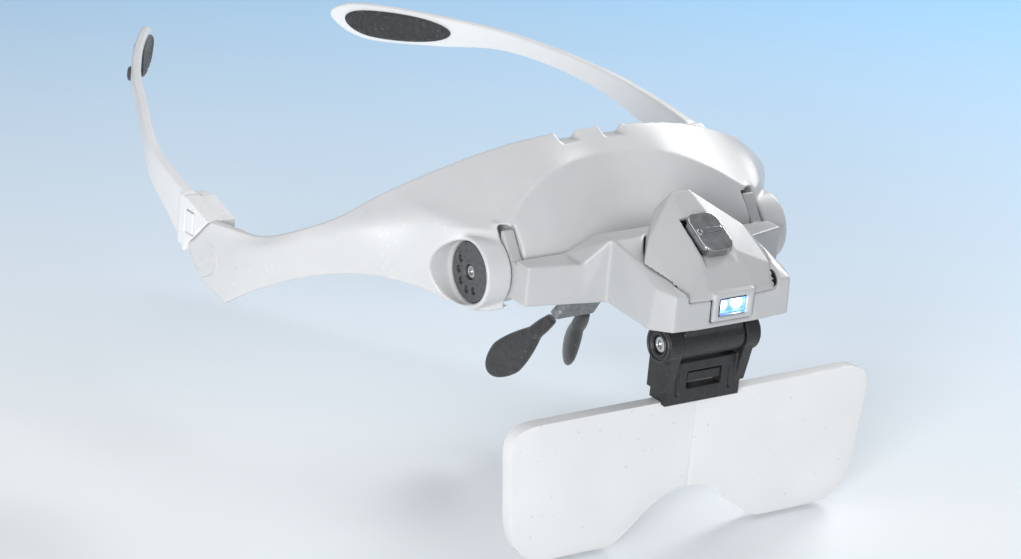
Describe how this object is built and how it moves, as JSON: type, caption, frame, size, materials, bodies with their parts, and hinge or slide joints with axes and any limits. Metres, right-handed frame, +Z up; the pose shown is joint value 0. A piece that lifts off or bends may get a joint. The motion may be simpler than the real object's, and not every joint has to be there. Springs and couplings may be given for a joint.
{
  "type": "head visor magnifier",
  "caption": "Head-worn magnifier: spectacle-type brow shell with folding temples, tilting visor bar with lamp, and a flip-down bracket with an exchangeable lens plate.",
  "frame": {"origin": "middle of the back of the magnifier plate, halfway between its top edge and its nose notch", "axes": "+Z up as worn, -Y to the front, +X to the wearer's left"},
  "size_m": [0.16, 0.2215, 0.0854],
  "materials": {
    "front_plastic": "satin",
    "side_plastic": "satin",
    "black_plastic": "fine grain",
    "nose_plastic": "rough grain",
    "soft_rubber": "matte",
    "clear_acrylic": "clear, polished",
    "steel": "satin",
    "dark_chrome": "dark, polished",
    "circuit_board": "matte",
    "led": "polished"
  },
  "bodies": {
    "frame": {"frame_shell": "front_plastic", "nose_bracket": "nose_plastic", "nose_pad_left": "soft_rubber", "nose_pad_right": "soft_rubber", "hinge_pin_left": "steel", "hinge_pin_right": "steel"},
    "visor": {"visor_bar": "front_plastic", "visor_pivot_disc_left": "black_plastic", "visor_pivot_disc_right": "black_plastic", "visor_pivot_screw_left": "steel", "visor_pivot_screw_right": "steel", "led_left": "led", "led_right": "led", "lamp_circuit_board": "circuit_board", "switch_body": "black_plastic", "coin_cell_lower": "steel", "coin_cell_upper": "steel", "battery_contact_left": "steel", "battery_contact_right": "steel", "lens_hinge_block": "black_plastic", "lens_pivot_pin": "steel"},
    "cover": {"lamp_cover": "front_plastic", "lamp_window": "clear_acrylic"},
    "switch": {"switch_button": "dark_chrome"},
    "bracket": {"lens_bracket": "black_plastic", "lens_pivot_screw_left": "steel", "lens_pivot_screw_right": "steel"},
    "latch": {"lens_latch": "black_plastic"},
    "lens": {"magnifier_lens": "clear_acrylic"},
    "adapter_left": {"temple_adapter_left": "side_plastic"},
    "release_left": {"release_latch_left": "side_plastic"},
    "temple_left": {"temple_arm_left": "side_plastic", "temple_pad_left": "soft_rubber"},
    "adapter_right": {"temple_adapter_right": "side_plastic"},
    "release_right": {"release_latch_right": "side_plastic"},
    "temple_right": {"temple_arm_right": "side_plastic", "temple_pad_right": "soft_rubber"}
  },
  "joints": [
    {"name": "visor_tilt", "type": "hinge", "parent": "frame", "child": "visor", "pos_m": [0, 0.0316, 0.0368], "axis": [-1, 0, 0], "range_deg": [0, 30]},
    {"name": "cover_lift", "type": "slide", "parent": "visor", "child": "cover", "axis": [0, 0, 1], "range_m": [0, 0.012]},
    {"name": "switch_slide", "type": "slide", "parent": "cover", "child": "switch", "axis": [0, -0.8746, -0.4848], "range_m": [0, 0.002]},
    {"name": "lens_flip", "type": "hinge", "parent": "visor", "child": "bracket", "pos_m": [0, -0.0035, 0.0268], "axis": [-1, 0, 0], "range_deg": [0, 90]},
    {"name": "lens_latch_slide", "type": "slide", "parent": "bracket", "child": "latch", "axis": [0, 0, -1], "range_m": [0, 0.0012]},
    {"name": "lens_release", "type": "slide", "parent": "bracket", "child": "lens", "axis": [0, 0, -1], "range_m": [0, 0.012]},
    {"name": "temple_fold_left", "type": "hinge", "parent": "frame", "child": "adapter_left", "pos_m": [0.0724, 0.0889, 0.0263], "axis": [0, 0, 1], "range_deg": [0, 85]},
    {"name": "release_press_left", "type": "slide", "parent": "adapter_left", "child": "release_left", "axis": [-1, 0, 0], "range_m": [0, 0.001]},
    {"name": "temple_release_left", "type": "slide", "parent": "adapter_left", "child": "temple_left", "axis": [0, 1, 0], "range_m": [0, 0.008]},
    {"name": "temple_fold_right", "type": "hinge", "parent": "frame", "child": "adapter_right", "pos_m": [-0.0724, 0.0889, 0.0263], "axis": [0, 0, -1], "range_deg": [0, 62]},
    {"name": "release_press_right", "type": "slide", "parent": "adapter_right", "child": "release_right", "axis": [1, 0, 0], "range_m": [0, 0.001]},
    {"name": "temple_release_right", "type": "slide", "parent": "adapter_right", "child": "temple_right", "axis": [0, 1, 0], "range_m": [0, 0.008]}
  ]
}
